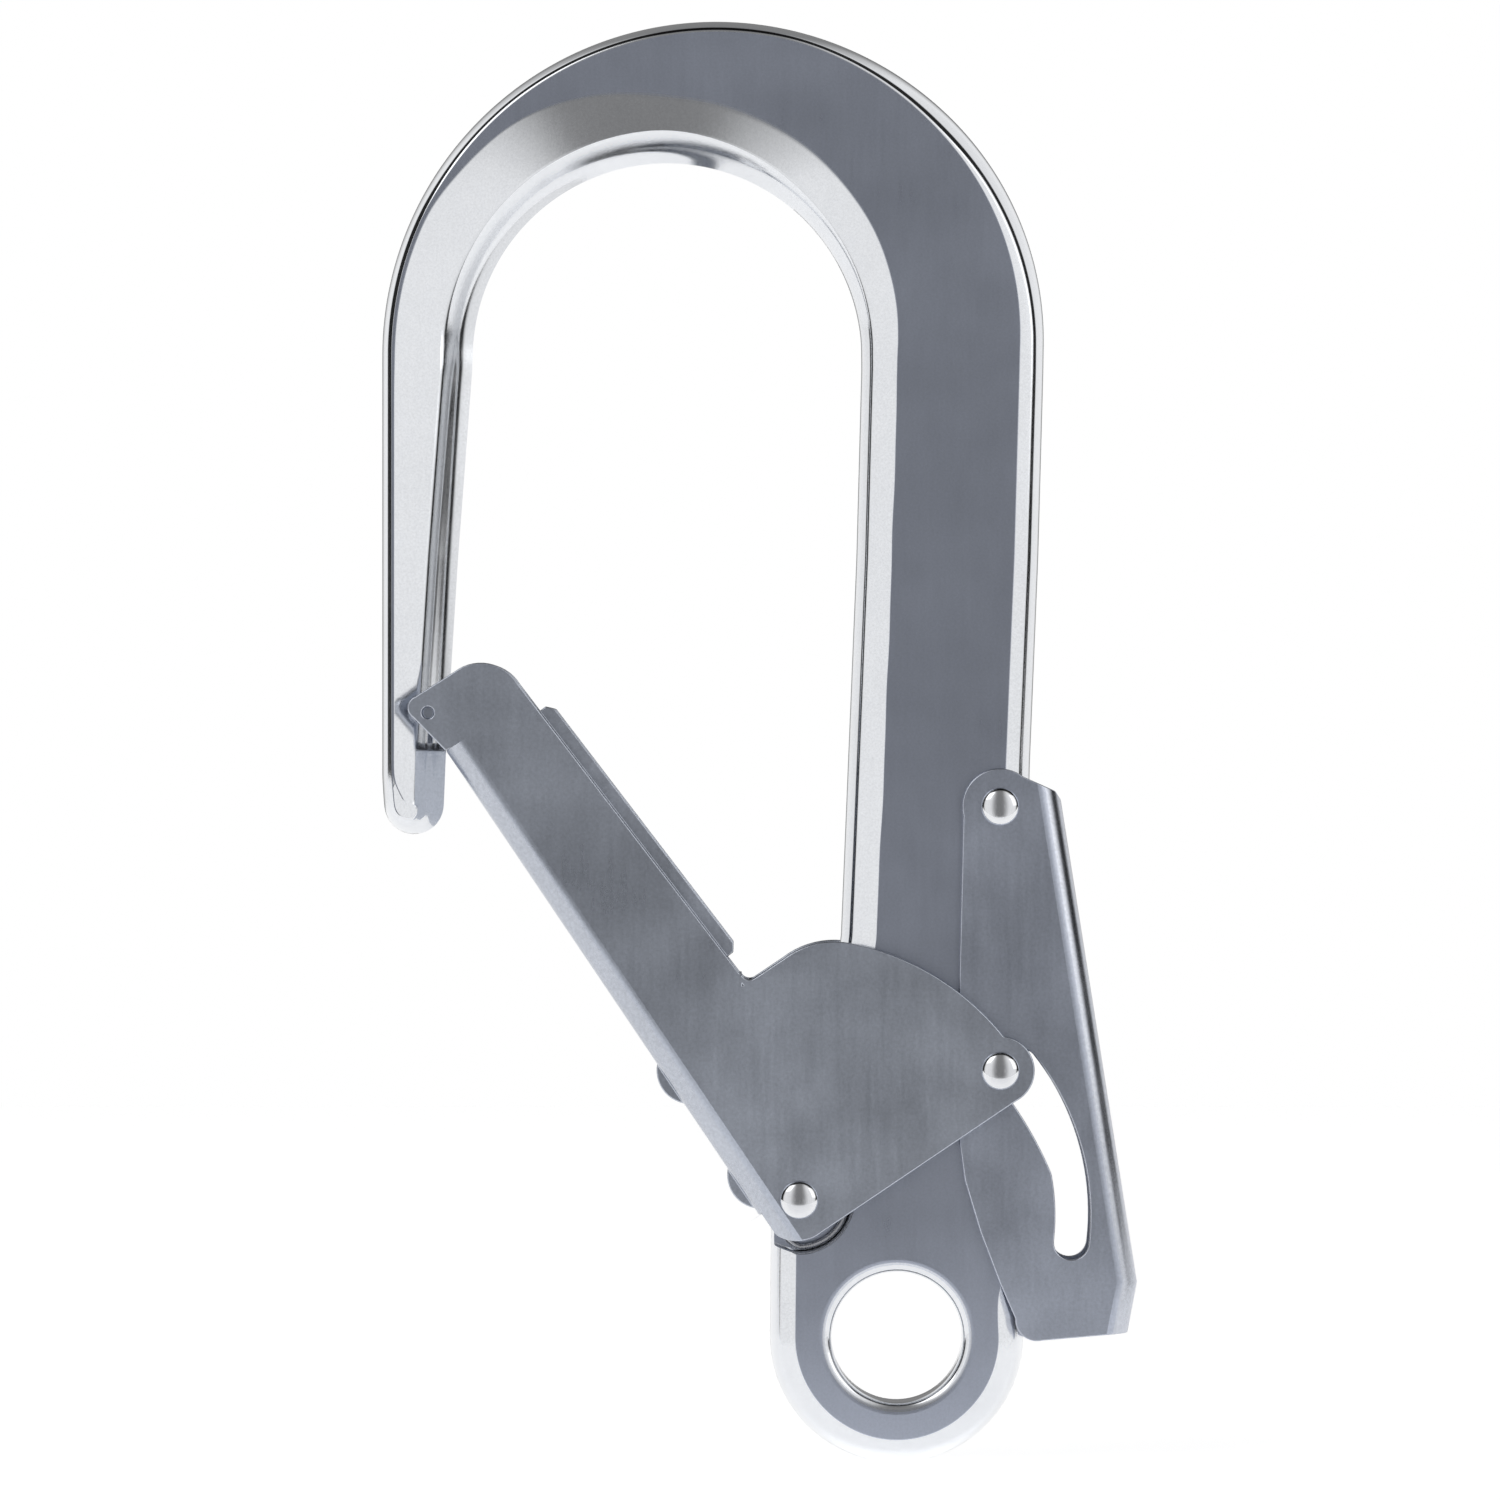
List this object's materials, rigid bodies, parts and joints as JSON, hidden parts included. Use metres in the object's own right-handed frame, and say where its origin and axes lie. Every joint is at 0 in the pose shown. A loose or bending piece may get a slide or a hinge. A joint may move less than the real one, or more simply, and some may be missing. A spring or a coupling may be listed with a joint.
{
  "type": "large-opening safety snap hook",
  "caption": "Forged snap hook with an eye, an inward-swinging folded channel gate and a slotted release lever that locks it.",
  "frame": {"origin": "centre of the eye's bore, midway between the two faces of the hook", "axes": "+Z from the eye towards the bow, along the hook's length; +Y along the eye's bore, from the front face to the rear face; +X from the gate's side towards the lever's side"},
  "size_m": [0.1256, 0.024, 0.2401],
  "materials": {
    "forged_alloy": "forged and polished, fine grain on the flat faces, bright bevels",
    "gate_sheet": "tumbled satin, bright bends and edges",
    "lever_sheet": "tumbled satin, bright bends and edges",
    "rivet_steel": "polished domes",
    "spring_wire": "drawn wire"
  },
  "bodies": {
    "hook": {"hook_body": "forged_alloy", "gate_spring_front": "spring_wire", "gate_spring_rear": "spring_wire", "lever_spring": "spring_wire"},
    "gate": {"gate": "gate_sheet", "gate_pivot_rivet": "rivet_steel", "lock_pin": "rivet_steel", "gate_spacer_front": "rivet_steel", "gate_spacer_rear": "rivet_steel"},
    "lever": {"lever": "lever_sheet", "lever_pivot_rivet": "rivet_steel"}
  },
  "joints": [
    {"name": "gate_swing", "type": "hinge", "parent": "hook", "child": "gate", "pos_m": [-0.01625, 0, 0.023], "axis": [0, 1, 0], "range_deg": [0, 42], "stiffness_Nm_per_rad": 0.5, "springref_deg": -40.11, "deforming": ["gate_spring_front", "gate_spring_rear"]},
    {"name": "lever_squeeze", "type": "hinge", "parent": "hook", "child": "lever", "pos_m": [0.0171, 0, 0.0882], "axis": [0, 1, 0], "range_deg": [0, 6.05], "stiffness_Nm_per_rad": 0.3, "springref_deg": -28.65, "deforming": ["lever_spring"]}
  ],
  "couplings": [
    {"joint": "lever_squeeze", "follows": "gate_swing", "ratio": 0.14286}
  ]
}
